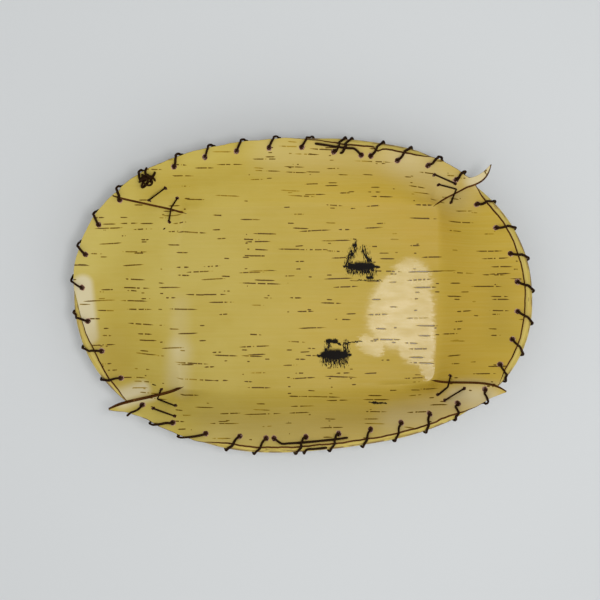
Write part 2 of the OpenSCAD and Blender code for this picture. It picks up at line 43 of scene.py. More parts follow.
# The tray's sizes as in the part's source, in millimetres and degrees.
# The rim's oval, with a bulge in one stretch
RIM_L, RIM_W, RIM_H = 397, 272, 45
RIM_SQUARE, RIM_EGG, RIM_TWIST = 2.22, 1.1, 1.5
RIM_BULGE, BULGE_AT, BULGE_SPAN = 4, 48, 14
# The base, its middle, and the turn of its sides and ends
BASE_L, BASE_W, BASE_X, BASE_Y = 228, 160, 6.5, -1.5
SIDE_TURN, END_TURN, BASE_SQUARE = 1.6, -1, 20
# The bark's thickness, and the wall's profile with its slope past the rim
BARK_T, CREASE, FLARE, PAST_RIM_SLOPE = 1.8, 0.15, 0.5, 0.5
# How far inside the rim the bark's edge lies where it bares the hoop or covers it, and where it covers it
EDGE_BARE, EDGE_COVERED = 6, 0.8
COVER_AT, COVER_HALF, COVER_SOFT = (135, 224, 39, 331), (38, 8, 4, 2), (25, 12, 9, 9)
# The corners' flaps, from the upper right one round by the left: direction, reach past the rim, the edge's
# first and last direction, lift, and the end wall's reach below
FLAP_DIR, FLAP_PAST = (36.7, 167.8, 195.5, 352.7), (19.4, -1.7, 14.9, 7.2)
FLAP_START, FLAP_END = (55, 154.5, 221, 326), (62, 165, 205, 325)
FLAP_LIFT, LAP_UNDER = (1.8, 0.5, 0.8, 2), (7.2, 2.7, 2.7, 3.4)
LAP_SIDE = (1, -1, 1, -1)
LAP_GAP, LAP_FADE, LAP_MARGIN, LAP_RISE_RUN = 0.5, 42, 8, 6
LIFT_WIDTH, LIFT_HOLD, SLIT_CLEAR, AT_SLIT = 7, 0.8, 1, 0.01
START_RUN, TIP_RUN, UNDER_RUN, UNDER_IN, SLIT_OPEN = 13, 23, 14, 2.5, 24
BEND_SHARE = 0.3
# Radius of the rim's and the corners' root, and how far inside the edge the rim's holes lie
ROOT_R, STITCH_R, HOLE_EDGE = 1.03, 0.75, 6.5

# Forms that only the scene has, in millimetres and degrees.
# How wide and how pointed each flap's tip is, and the end walls' corners below them
HORN_SPAN, HORN_POWER, UNDER_SPAN, UNDER_POWER = (4, 12, 30, 20), (3, 2, 2, 2), 17, 2
# The hook of the upper right tip: depth, direction, run, half-width and fade
HOOK, HOOK_DIR, HOOK_RUN, HOOK_WIDE, HOOK_FADE = 2.7, 46, 26, 18, 8
# The wide curve from base to wall: softness, distance from the slits, fade up the wall, and the turn in which
# it passes to the right end's sharper fold
SOFT_CREASE, SOFT_FROM, SOFT_RUN = 0.55, 6, 24
SOFT_TOP, SOFT_FADE, SOFT_TURN = 0.42, 0.42, 6
# Slow waves of the sheet: height, length along X and Y, and phase; and the share of the wall where they end
WAVES = ((0.26, 33, 47, 0.4), (0.2, -25, 36, 2.1), (0.12, 15, -52, 1.3))
WAVES_END = 0.5
# The flaps' cut edges: slant, the share in which it sets in and eases off, by how much, the gap to the wall
# below, and least and greatest depth
EDGE_SLANT, EDGE_EASE, EDGE_LESS = (1.5, 1.7, 2.5, 1.9), 0.15, 0.35
EDGE_REST, EDGE_THIN, EDGE_DEEP = 0.4, 0.5, 2.4
# The rim's slant, how much less it is where the bark covers the hoop, and the bulge of all cut edges
RIM_SLANT, RIM_UNDERCUT = 0.85, 1.5
EDGE_BULGE, BULGE_SHARES = 0.16, (0.3, 0.7)
# The hand-cut edge: waves as height, count and phase, the nicks' rough radius, and each nick's angle,
# half-width and depth
EDGE_WAVES = ((0.22, 23, 40), (0.16, 57, 10), (0.1, 131, 70))
NICK_R = 150
NICKS = ((357, 62, 1.7), (190, 26, 2.4), (62.2, 3.2, 2.6), (150.5, 2.4, 0.9), (214, 3, 0.8),
         (318.5, 2.2, 0.9))
# Columns and rows of points in each wall, the rows' spacing, and rings in the base
COLUMNS, ROWS, ROW_POWER, BASE_ROWS = (150, 100, 150, 100), 36, 1.15, 16
# Rim stitches: their bow, above which height, the hoop's reach, and a stretch where they lean along the rim
BOW, BOW_LOW, BOW_RISE, HOOP_OUT = 1.6, 41, 5, 2
LEAN, LEAN_MORE, LEAN_AT, LEAN_HALF, LEAN_SOFT = 10, 0.5, 226, 8.5, 4
# The awl holes' radius at the rim and at the corners, and how far inside the edge they lie at least
HOLE_R, FINE_HOLE_R, HOLE_CLEAR = 2.7, 1.5, 2.5

# The view from straight above: its middle pixel, the camera's place, and the scale at the rim's height
VIEW_MID, CAMERA_X, CAMERA_Y, CAMERA_Z = 300, -1.45, -4.43, 1100
RIM_SEEN, MM_PER_PIXEL = 46, 400 / 465
# Heights of places read in that view: on the base, a wall, a corner's laps and the knot
BASE_SEEN, WALL_SEEN, LAP_SEEN, KNOT_SEEN = 2, 30, 28, 42


def cosd(a):
    return np.cos(np.radians(a))


def sind(a):
    return np.sin(np.radians(a))


def turn(a, b):
    return (a - b + 180) % 360 - 180


def half_turns(t):
    """Radians between minus and plus half a turn."""
    return (t + np.pi) % (2 * np.pi) - np.pi


def full_turn(sides):
    return np.arange(sides + 1) * 2 * np.pi / sides


def polar(r, a):
    return np.stack([r * cosd(a), r * sind(a)], -1)


def angle_of(p):
    return np.degrees(np.arctan2(p[..., 1], p[..., 0]))


def length(v):
    return np.linalg.norm(v, axis=-1)


def unit(v):
    return v / np.maximum(length(v), 1e-9)[..., None]


def ease(t):
    c = np.clip(t, 0, 1)
    return c * c * (3 - 2 * c)


def run_of(points):
    """How far along a line each of its points lies."""
    return np.concatenate([[0], np.cumsum(length(np.diff(points, axis=0)))])


def bezier(c, t):
    t = np.asarray(t)[..., None]
    return (1 - t) ** 3 * c[0] + 3 * t * (1 - t) ** 2 * c[1] + 3 * t * t * (1 - t) * c[2] + t ** 3 * c[3]


# The rim's oval, the base and the wall between them
def rim_r(a):
    x, y = abs(cosd(a)) * 2 / RIM_L, abs(sind(a)) * 2 / RIM_W
    oval = (x ** RIM_SQUARE + y ** RIM_SQUARE) ** (-1 / RIM_SQUARE)
    bulge = RIM_BULGE * np.exp(-(turn(a, BULGE_AT) / BULGE_SPAN) ** 2)
    return oval + RIM_EGG * cosd(3 * a) - RIM_TWIST * sind(4 * a) + bulge


def rim_n(a):
    step = 0.5
    t = unit(polar(rim_r(a - step), a - step) - polar(rim_r(a + step), a + step))
    return np.stack([-t[..., 1], t[..., 0]], -1)


def side_dir(k):
    return 90 * k + (END_TURN if k % 2 == 0 else SIDE_TURN)


def side_off(k):
    half = (BASE_L if k % 2 == 0 else BASE_W) / 2
    return half + BASE_X * cosd(side_dir(k)) + BASE_Y * sind(side_dir(k))


def base_r(a):
    sides = [(np.maximum(0, cosd(a - side_dir(k))) / side_off(k)) ** BASE_SQUARE for k in range(4)]
    return sum(sides) ** (-1 / BASE_SQUARE)


CREASE_TOP = (1 + CREASE ** 2) ** 0.5 - CREASE
RIM_SLOPE = (1 - FLARE) / ((1 + CREASE ** 2) ** 0.5 * CREASE_TOP)


def wall_share(p):
    a = angle_of(p)
    b = base_r(a)
    return np.maximum(0, (length(p) - b) / (rim_r(a) - b))


def wall_z(p):
    t = wall_share(p)
    q = (np.sqrt(t * t + CREASE ** 2) - CREASE) / CREASE_TOP
    return RIM_H * np.where(t < 1, q * (1 + FLARE * (1 - q)), 1 + PAST_RIM_SLOPE * RIM_SLOPE * (t - 1))


def wall_normal(p):
    step = 0.05
    x, y = np.array([step, 0]), np.array([0, step])
    gx = (wall_z(p + x) - wall_z(p - x)) / (2 * step)
    gy = (wall_z(p + y) - wall_z(p - y)) / (2 * step)
    return unit(np.stack([-gx, -gy, np.ones_like(gx)], -1))


def covered(a):
    return np.max([ease((COVER_HALF[k] + COVER_SOFT[k] - abs(turn(a, COVER_AT[k]))) / COVER_SOFT[k])
                   for k in range(4)], axis=0)


def edge_r(a):
    inset = EDGE_BARE + (EDGE_COVERED - EDGE_BARE) * covered(a)
    return rim_r(a) - inset / np.sum(rim_n(a) * polar(1, a), -1)


# The corners: slits, flaps' edges and the end walls' edges under them
def corner_angle(k):
    n = (k + 1) % 4
    a, b, c, d = side_dir(k), side_dir(n), side_off(k), side_off(n)
    return angle_of(np.array([c * sind(b) - d * sind(a), d * cosd(a) - c * cosd(b)]))


def rim_reach(p, way, halvings=40):
    """How far the rim is from a place, found by halving."""
    low, high = 0.0, float(RIM_L)
    for _ in range(halvings):
        half = (low + high) / 2
        q = p + half * way
        low, high = (low, half) if length(q) > rim_r(angle_of(q)) else (half, high)
    return low


CORNER_A = [corner_angle(k) for k in range(4)]
SLIT = [polar(base_r(a), a) for a in CORNER_A]
FLAP_LEN = [rim_reach(SLIT[k], polar(1, FLAP_DIR[k])) + FLAP_PAST[k] for k in range(4)]
TIP = [SLIT[k] + polar(FLAP_LEN[k], FLAP_DIR[k]) for k in range(4)]
UNDER_A = [CORNER_A[k] + LAP_SIDE[k] * LAP_UNDER[k] for k in range(4)]
UNDER_END = [polar(edge_r(a) - UNDER_IN, a) for a in UNDER_A]
UNDER_DIR = [angle_of(UNDER_END[k] - SLIT[k]) for k in range(4)]


def edge_curve(k, first_dir, end, last_run, last_dir):
    """A cut edge from slit to end, as the points of a cubic curve."""
    return SLIT[k], SLIT[k] + polar(START_RUN, first_dir), end - polar(last_run, last_dir), end


FLAP_CURVE = [edge_curve(k, FLAP_START[k], TIP[k], TIP_RUN, FLAP_END[k]) for k in range(4)]
UNDER_CURVE = [edge_curve(k, FLAP_START[k] - LAP_SIDE[k] * SLIT_OPEN, UNDER_END[k], UNDER_RUN, UNDER_DIR[k])
               for k in range(4)]


def flap_z(p, k):
    """A corner flap's height over the plain wall."""
    d = p - SLIT[k]
    far = length(d)
    way = np.minimum(1, far / FLAP_LEN[k])
    edge = bezier(FLAP_CURVE[k], way) - SLIT[k]
    depth = LAP_SIDE[k] * far * sind(angle_of(d) - angle_of(edge))
    past = LAP_SIDE[k] * turn(angle_of(d), UNDER_DIR[k])
    full = 1 - ease((past - LAP_MARGIN) / LAP_FADE)
    lap = (BARK_T + LAP_GAP) / wall_normal(p)[..., 2] * full * ease((far - SLIT_CLEAR) / LAP_RISE_RUN)
    lift = FLAP_LIFT[k] * np.exp(-(depth / LIFT_WIDTH) ** 2) * sind(180 * np.minimum(LIFT_HOLD, way)) ** 2
    return np.where(far < AT_SLIT, 0, lap + lift)


def sheet_lift(p):
    """The top layer's height over the plain wall."""
    out = np.zeros(p.shape[:-1])
    for k in range(4):
        far = length(p - SLIT[k])
        edge = bezier(FLAP_CURVE[k], np.minimum(1, far / FLAP_LEN[k]))
        on = (far > SLIT_CLEAR) & (LAP_SIDE[k] * turn(angle_of(p), angle_of(edge)) > 0)
        out = np.maximum(out, np.where(on, flap_z(p, k), 0))
    return out


def soft_crease(p):
    """How far below a sharp fold the sheet lies where it bends up in a wide curve."""
    t = wall_share(p)
    q = (np.sqrt(t * t + SOFT_CREASE ** 2) - SOFT_CREASE) / ((1 + SOFT_CREASE ** 2) ** 0.5 - SOFT_CREASE)
    drop = wall_z(p) - RIM_H * q * (1 + FLARE * (1 - q))
    free = np.min([length(p - s) for s in SLIT], axis=0)
    past_end = ease((abs(turn(angle_of(p), 0)) - CORNER_A[0] + SOFT_TURN) / SOFT_TURN)
    return drop * ease((free - SOFT_FROM) / SOFT_RUN) * past_end * (1 - ease((t - SOFT_TOP) / SOFT_FADE))


def sway(p):
    """Slow waves of a hand-flattened sheet, which die out up the wall."""
    x, y = p[..., 0], p[..., 1]
    w = sum(high * np.sin(x / span_x + y / span_y + phase) for high, span_x, span_y, phase in WAVES)
    return w * (1 - ease(wall_share(p) / WAVES_END))


def sheet_z(p):
    """The height of the sheet's top, without its slow waves."""
    return BARK_T + wall_z(p) - soft_crease(p) + sheet_lift(p)


# Places read in the view from above
def photo_spot(u, v, z=BASE_SEEN):
    """Metres in plan for a place in the view, at a height in millimetres."""
    k = MM_PER_PIXEL * (CAMERA_Z - z) / (CAMERA_Z - RIM_SEEN) * MM
    return ((u - VIEW_MID) * k + CAMERA_X * MM, (VIEW_MID - v) * k + CAMERA_Y * MM)


def plan_spot(at, z):
    """The same in millimetres."""
    return np.array(photo_spot(*at, z)) / MM


def flat_spot(at, steps=60):
    """Metres on the sheet laid flat for a place in the view."""
    p = plan_spot(at, WALL_SEEN)
    a = angle_of(p)
    foot = polar(base_r(a), a)
    if length(p) <= length(foot):
        return tuple(p * MM)
    line = foot + np.linspace(0, 1, steps)[:, None] * (p - foot)
    run = np.sum(np.hypot(length(np.diff(line, axis=0)), np.diff(wall_z(line))))
    return tuple((foot + run * unit(p - foot)) * MM)


def placed(name, data):
    obj = bpy.data.objects.new(name, data)
    bpy.context.scene.collection.objects.link(obj)
    return obj


# A piece from points in millimetres, with flat coordinates for its materials
def piece(name, points, faces, uv, materials, material_of=None, smooth=True):
    mesh = bpy.data.meshes.new(name)
    mesh.from_pydata((np.asarray(points) * MM).tolist(), [], faces)
    layer = mesh.uv_layers.new(name="flat")
    loops = np.empty(len(mesh.loops), dtype=np.int32)
    mesh.loops.foreach_get("vertex_index", loops)
    layer.data.foreach_set("uv", np.asarray(uv, dtype=np.float32)[loops].ravel())
    for m in materials:
        mesh.materials.append(m)
    if material_of is not None:
        mesh.polygons.foreach_set("material_index", np.asarray(material_of, dtype=np.int32))
    mesh.polygons.foreach_set("use_smooth", np.full(len(mesh.polygons), smooth))
    mesh.update()
    return placed(name, mesh)


def grid_faces(rows, n, start=0):
    """Faces between rows of n points each."""
    row, side = np.meshgrid(np.arange(rows - 1), np.arange(n - 1), indexing="ij")
    a = (start + row * n + side).ravel()
    return np.stack([a, a + n, a + n + 1, a + 1], -1)


def grid_uv(u, v):
    return np.stack(np.broadcast_arrays(u, v), -1).reshape(-1, 2)


# A weight too small to see, which only sets the order in which a tree is worked out
ORDER_ONLY = 1e-9


class Tree:
    """A material's node tree, built by short calls."""

    def __init__(self, name):
        self.material = bpy.data.materials.new(name)
        self.material.use_nodes = True
        self.t = self.material.node_tree
        self.t.nodes.clear()
        self.out = self.t.nodes.new("ShaderNodeOutputMaterial")
        self.bsdf = self.t.nodes.new("ShaderNodeBsdfPrincipled")
        self.t.links.new(self.bsdf.outputs[0], self.out.inputs[0])

    def put(self, socket, value):
        if isinstance(value, bpy.types.NodeSocket):
            self.t.links.new(value, socket)
        else:
            socket.default_value = value

    def node(self, kind, inputs=(), **settings):
        n = self.t.nodes.new(kind)
        for k, v in settings.items():
            setattr(n, k, v)
        for k, v in dict(inputs).items():
            self.put(n.inputs[k], v)
        return n

    def math(self, op, *values, clamp=False):
        return self.node("ShaderNodeMath", enumerate(values), operation=op, use_clamp=clamp).outputs[0]

    def vec(self, op, *values, out=0):
        return self.node("ShaderNodeVectorMath", enumerate(values), operation=op).outputs[out]

    def mul(self, a, b):
        return self.math("MULTIPLY", a, b)

    def mul_add(self, a, b, c):
        return self.math("MULTIPLY_ADD", a, b, c)

    def vec_mul_add(self, a, b, c):
        return self.vec("MULTIPLY_ADD", a, b, c)

    def ramp(self, value, a, b, low=0.0, high=1.0):
        inputs = enumerate((value, a, b, low, high))
        return self.node("ShaderNodeMapRange", inputs, interpolation_type="SMOOTHSTEP", clamp=True).outputs[0]

    def mix(self, share, a, b):
        n = self.node("ShaderNodeMix", {0: share}, data_type="RGBA", blend_type="MIX")
        for i, colour in ((6, a), (7, b)):
            self.put(n.inputs[i], colour if isinstance(colour, bpy.types.NodeSocket) else (*colour, 1))
        return n.outputs[2]

    def noise(self, vector, scale, detail=3, rough=0.55, out="Fac"):
        inputs = {"Vector": vector, "Scale": scale, "Detail": detail, "Roughness": rough}
        return self.node("ShaderNodeTexNoise", inputs).outputs[out]

    def grain(self, vector, by, detail=3, rough=0.55, shift=(0, 0, 0), out="Fac"):
        """Noise with so many cells per metre along U and V."""
        return self.noise(self.vec_mul_add(vector, (*by, 0), shift), 1.0, detail, rough, out)

    def flat(self):
        return self.node("ShaderNodeUVMap", uv_map="flat").outputs[0]

    def parts(self, vector):
        n = self.node("ShaderNodeSeparateXYZ", {0: vector})
        return n.outputs[0], n.outputs[1], n.outputs[2]

    def bump(self, height, depth, strength):
        n = self.node("ShaderNodeBump", {"Height": height, "Distance": depth, "Strength": strength})
        return n.outputs[0]

    def shade(self, **values):
        for k, v in values.items():
            self.put(self.bsdf.inputs[k.replace("_", " ")], v)
        return self.material

    def after(self, vector, mask):
        """The same vector, worked out after the mask, so that few values are kept at a time."""
        return self.vec_mul_add(mask, (ORDER_ONLY, ORDER_ONLY, 0), vector)

    def joined(self, flat, draw, kinds):
        """Several masks in one, each worked out after the one before."""
        mask = None
        for kind in kinds:
            one = draw(flat if mask is None else self.after(flat, mask), *kind)
            mask = one if mask is None else self.math("MAXIMUM", mask, one)
        return mask

    def dashes(self, flat, cell, keep, span, thick, shift, broken=0.39):
        """Lenticels: dashes along U in a share of random cells, as short and long as span says."""
        p = self.vec_mul_add(flat, (1 / cell[0], 1 / cell[1], 0), (shift, 1.7 * shift, 0))
        v = self.node("ShaderNodeTexVoronoi", {"Vector": p, "Scale": 1.0, "Randomness": 0.85},
                      voronoi_dimensions="2D", feature="F1")
        off = self.vec("MULTIPLY", self.vec("SUBTRACT", p, v.outputs["Position"]), (*cell, 0))
        du, dv, _ = self.parts(off)
        # A cell's random colour says whether it has a dash, how long and tilted it is, and where it has gaps
        r, g, b = self.parts(v.outputs["Color"])
        half = self.mul_add(self.math("POWER", g, 1.6), (span[1] - span[0]) / 2, span[0] / 2)
        tilt = self.mul(du, self.mul_add(b, 0.12, -0.06))
        along = self.math("DIVIDE", self.math("ABSOLUTE", du), half)
        wave = self.grain(flat, (700, 60), 1, shift=(shift, 0, 0))
        ragged = self.mul_add(wave, 0.8, 0.6)
        fat = self.mul(self.ramp(along, 1.05, 0.55), self.mul(ragged, thick))
        across = self.math("ABSOLUTE", self.math("ADD", dv, tilt))
        line = self.ramp(self.math("SUBTRACT", across, fat), thick, thick * -0.25)
        line = self.mul(line, self.ramp(along, 1.1, 0.9))
        own = self.vec("MULTIPLY", v.outputs["Color"], (0, 90, 90))
        gap_at = self.vec_mul_add(flat, (260, 0, 0), own)
        gaps = self.ramp(self.noise(gap_at, 1.0, 1), broken - 0.03, broken + 0.03)
        return self.mul(self.mul(line, gaps), self.math("LESS_THAN", r, keep))

    def stroke(self, flat, a, b, width, inner, share=1.0):
        """A line from a to b on the flat sheet, in metres, full up to a part of its half-width."""
        ba = np.subtract(b, a)
        pa = self.vec("SUBTRACT", flat, (*a, 0))
        dot = self.vec("DOT_PRODUCT", pa, (*ba, 0), out=1)
        way = self.math("MULTIPLY", dot, 1 / float(ba @ ba), clamp=True)
        foot = self.node("ShaderNodeVectorMath", {0: (*ba, 0), "Scale": way}, operation="SCALE").outputs[0]
        far = self.vec("LENGTH", self.vec("SUBTRACT", pa, foot), out=1)
        return self.ramp(far, width * (2 - inner), width * inner, 0.0, share)

    def strokes(self, flat, lines, inner=0.65):
        """Several lines given in the view from above."""
        def draw(start, a, b, width):
            return self.stroke(start, photo_spot(*a), photo_spot(*b), width * MM, inner)
        return self.joined(flat, draw, lines)


# Painted sheen (pale, for reflected light) and painted shade (darker) on the walls, as strokes: ends in the
# view from above, half-width in millimetres, the part of it that is full, and strength
PAINTED_SHEEN = [
    ((85, 284), (91, 336), 8, 0.6, 0.75), ((176, 352), (174, 386), 9, 0, 0.36),
    ((178, 305), (176, 350), 7, 0, 0.16), ((408, 160), (446, 186), 22, 0, 0.28),
    ((120, 396), (146, 389), 7, 0.3, 0.8), ((395, 414), (468, 398), 14, 0, 0.3),
    ((472, 180), (488, 167), 7, 0, 0.6), ((220, 432), (420, 430), 22, 0, 0.14),
    ((270, 156), (400, 158), 18, 0, 0.16), ((455, 393), (492, 392), 8, 0, 0.45)]
PAINTED_SHADE = [((108, 345), (116, 376), 16, 0, 0.55), ((500, 280), (500, 330), 14, 0, 0.5)]

# Scars of side branches, their hairy fringes and the polished patch beside them, as strokes: ends in the view
# from above, and half-width in millimetres
SCARS = [
    ((357, 266.4), (365, 266.4), 4.2), ((350, 266.3), (372, 266.5), 2.9), ((344, 266.3), (379, 267), 1.1),
    ((368, 277.7), (372, 277.4), 1.7), ((358, 280.3), (381, 280.5), 0.4), ((330, 355), (338, 355), 5.2),
    ((324, 355), (345, 355), 3.6), ((318, 355.5), (350.5, 355), 1.2), ((328, 341), (336, 341.4), 2.0),
    ((336, 342), (340.5, 344.5), 1.0), ((344, 342.8), (362, 341.5), 0.5),
    ((374.5, 404), (384, 404.6), 1.3), ((370.5, 403.4), (388.5, 405), 0.65)]
FRINGE = [
    ((348, 263), (354, 249), 3.6), ((369, 263), (364, 250), 3.4), ((355, 250), (356, 241), 1.4),
    ((350, 270), (372, 271), 4.2), ((328, 344), (327, 352), 3.2), ((346, 344), (346, 352), 3.0),
    ((326, 360), (344, 361), 4.6)]
POLISH = [((402, 302), (397, 319), 28), ((411, 278), (416.5, 345), 18.5), ((418, 345), (432, 379), 6.5),
          ((366, 343), (376, 348), 8.5)]

# Lenticels of three sizes, in metres: cell, share of cells with one, shortest and longest, thickness, shift
LENTICELS = [
    ((0.036, 0.0068), 0.52, (0.008, 0.03), 0.00045, 3.3),
    ((0.019, 0.0075), 0.22, (0.002, 0.009), 0.0004, 17.7),
    ((0.055, 0.017), 0.3, (0.016, 0.038), 0.00045, 41.9)]

# Colours of the inner bark
PALE_GOLD, DEEP_GOLD, DULL_GOLD = (0.5, 0.392, 0.084), (0.478, 0.318, 0.036), (0.43, 0.3, 0.028)
STREAK_PALE, FIBRE_DARK = (0.56, 0.44, 0.14), (0.33, 0.21, 0.03)
# Painted sheen, pale, and painted shade, darker, for the patches on the walls
SHEEN_PALE, SHADE_DARK = (0.64, 0.565, 0.385), (0.38, 0.26, 0.032)
MARK_STAIN, MARK_DARK, SCAR_DARK = (0.38, 0.24, 0.008), (0.085, 0.042, 0.0008), (0.006, 0.004, 0.003)


def golden(t, along, cloud, streak, fibre):
    """The golden ground, deeper to the right, with clouds, streaks and fibres."""
    warm = t.ramp(t.mul_add(cloud, 0.12, along), -0.08, 0.2)
    gold = t.mix(warm, PALE_GOLD, DEEP_GOLD)
    gold = t.mix(t.ramp(cloud, 0.32, 0.62, 0.55, 0), gold, DULL_GOLD)
    gold = t.mix(t.ramp(streak, 0.35, 0.75, 0, 0.16), gold, STREAK_PALE)
    return t.mix(t.ramp(fibre, 0.55, 0.8, 0, 0.12), gold, FIBRE_DARK)


def lenticels(t, flat):
    """Lenticels that wander a little off their lines, fainter in some places."""
    wander = t.vec_mul_add(t.noise(flat, 90.0, 2, out="Color"), (0.0006, 0.0006, 0), flat)
    slip = t.vec("SUBTRACT", wander, (0.0003, 0.0003, 0))
    marks = t.joined(slip, t.dashes, LENTICELS)
    faint = t.grain(flat, (30, 60), 2)
    return t.mul(marks, t.ramp(faint, 0.3, 0.62, 0.6, 1.0))


def scarred(t, torn):
    """The branch scars with their hairy fringes."""
    fringe = t.strokes(torn, FRINGE, 0.1)
    hair = t.grain(t.after(torn, fringe), (1050, 210), 2, 0.6)
    shaggy = t.ramp(t.mul_add(fringe, 0.25, hair), 0.64, 0.71)
    fringe = t.mul(shaggy, t.ramp(fringe, 0.02, 0.3))
    return t.math("MAXIMUM", t.strokes(t.after(torn, fringe), SCARS), fringe)


def polished(t, flat, rag, scar):
    """The polished patch, with a feathered and ragged outline."""
    feather = t.grain(t.after(flat, scar), (90, 380), 4, 0.7, out="Color")
    feather = t.vec_mul_add(t.vec("SUBTRACT", feather, (0.5, 0.5, 0)), (0.016, 0.008, 0), flat)
    return t.strokes(t.vec_mul_add(rag, (0.006, 0.006, 0), feather), POLISH, 0.8)


def inner_bark():
    t = Tree("bark_inner")
    flat = t.flat()
    along, _, _ = t.parts(flat)
    cloud = t.grain(flat, (9, 14), 4, 0.6)
    streak = t.grain(flat, (14, 420), 4, 0.6)
    fibre = t.grain(flat, (60, 1700), 3, 0.6)
    gold = golden(t, along, cloud, streak, fibre)
    marks = lenticels(t, flat)
    rag = t.vec("SUBTRACT", t.noise(flat, 520.0, 3, 0.7, out="Color"), (0.5, 0.5, 0))
    scar = scarred(t, t.after(t.vec_mul_add(rag, (0.0024, 0.0044, 0), flat), marks))
    polish = polished(t, flat, rag, scar)
    scar = t.mul_add(polish, ORDER_ONLY, scar)
    # Painted sheen and painted shade: pale patches stand for reflected light, darker ones for shade on the
    # walls
    for tone, patches in ((SHEEN_PALE, PAINTED_SHEEN), (SHADE_DARK, PAINTED_SHADE)):
        for a, b, width, full, share in patches:
            patch = t.stroke(t.after(flat, scar), flat_spot(a), flat_spot(b), width * MM, full, share)
            gold = t.mix(patch, gold, tone)
            scar = t.mul_add(patch, ORDER_ONLY, scar)
    colour = t.mix(t.ramp(marks, 0.0, 0.6, 0.0, 0.85), gold, MARK_STAIN)
    colour = t.mix(t.ramp(marks, 0.5, 0.85), colour, MARK_DARK)
    colour = t.mix(scar, colour, SCAR_DARK)
    relief = t.math("ADD", t.mul(fibre, 0.2), t.mul(streak, 0.35))
    relief = t.math("SUBTRACT", relief, t.math("MAXIMUM", marks, scar))
    rough = t.ramp(t.grain(flat, (40, 110), 4), 0.3, 0.75, 0.46, 0.54)
    rough = t.mul_add(polish, -0.29, t.mul_add(scar, 0.4, rough))
    return t.shade(Base_Color=colour, Roughness=rough, Specular_IOR_Level=0.2,
                   Normal=t.bump(relief, 0.00012, 0.5))


def outer_bark():
    t = Tree("bark_outer")
    grey, white, tan, dark = (0.56, 0.52, 0.45), (0.72, 0.69, 0.62), (0.5, 0.36, 0.22), (0.07, 0.05, 0.035)
    flat = t.flat()
    cloud = t.grain(flat, (16, 30), 5, 0.62)
    streak = t.grain(flat, (18, 300), 4, 0.6)
    chalk = t.mix(t.ramp(streak, 0.3, 0.7), grey, white)
    chalk = t.mix(t.ramp(cloud, 0.5, 0.62), chalk, tan)
    marks = t.dashes(flat, (0.034, 0.008), 0.6, (0.008, 0.028), 0.0007, 9.1, 0.4)
    marks = t.math("MAXIMUM", marks, t.dashes(flat, (0.02, 0.006), 0.35, (0.003, 0.01), 0.0005, 27.3, 0.4))
    colour = t.mix(t.mul(marks, 0.85), chalk, dark)
    relief = t.math("ADD", t.mul(cloud, 0.8), marks)
    return t.shade(Base_Color=colour, Roughness=t.ramp(streak, 0.3, 0.7, 0.55, 0.8),
                   Normal=t.bump(relief, 0.0003, 0.6))


def cut_bark():
    t = Tree("bark_cut_edge")
    dark, red, pale = (0.034, 0.01, 0.0015), (0.11, 0.04, 0.008), (0.26, 0.12, 0.03)
    flat = t.flat()
    layers = t.grain(flat, (60, 2600), 3, 0.6)
    patch = t.grain(flat, (140, 140), 3)
    colour = t.mix(t.ramp(layers, 0.35, 0.65), dark, red)
    colour = t.mix(t.ramp(patch, 0.58, 0.72, 0, 0.5), colour, pale)
    return t.shade(Base_Color=colour, Roughness=t.ramp(patch, 0.3, 0.7, 0.6, 0.85), Specular_IOR_Level=0.05,
                   Normal=t.bump(layers, 0.0002, 0.7))


def torn_bark():
    t = Tree("bark_torn")
    red, pale = (0.17, 0.05, 0.025), (0.6, 0.42, 0.28)
    # The darkest colour is painted shade, for the holes' openings
    hole_shade_dark, fleck_pale = (0.045, 0.011, 0.006), (0.5, 0.33, 0.26)
    flat = t.flat()
    far, _, _ = t.parts(flat)
    fibre = t.grain(flat, (900, 2400), 3)
    colour = t.mix(t.ramp(fibre, 0.35, 0.65), red, pale)
    # Painted shade: darker towards each hole's middle, standing for its shaded opening round the strand
    hole_shade = t.ramp(t.mul_add(fibre, 0.0009, far), 0.003, 0.0023)
    colour = t.mix(hole_shade, colour, hole_shade_dark)
    fleck = t.ramp(t.grain(flat, (500, 900), 2, shift=(3, 7, 0)), 0.58, 0.66, 0, 0.75)
    colour = t.mix(fleck, colour, fleck_pale)
    return t.shade(Base_Color=colour, Roughness=t.ramp(fibre, 0.3, 0.7, 0.6, 0.85), Specular_IOR_Level=0.1,
                   Normal=t.bump(fibre, 0.0003, 0.7))


def root_material():
    t = Tree("root_split")
    dark, brown, red = (0.011, 0.0035, 0.0008), (0.032, 0.014, 0.004), (0.06, 0.022, 0.007)
    flat = t.flat()
    streak = t.grain(flat, (70, 900), 4, 0.6)
    patch = t.grain(flat, (110, 160), 3)
    colour = t.mix(t.ramp(streak, 0.35, 0.7), dark, brown)
    colour = t.mix(t.ramp(patch, 0.6, 0.75, 0, 0.5), colour, red)
    return t.shade(Base_Color=colour, Roughness=t.ramp(patch, 0.3, 0.7, 0.5, 0.7), Specular_IOR_Level=0.04,
                   Normal=t.bump(streak, 0.00025, 0.8))


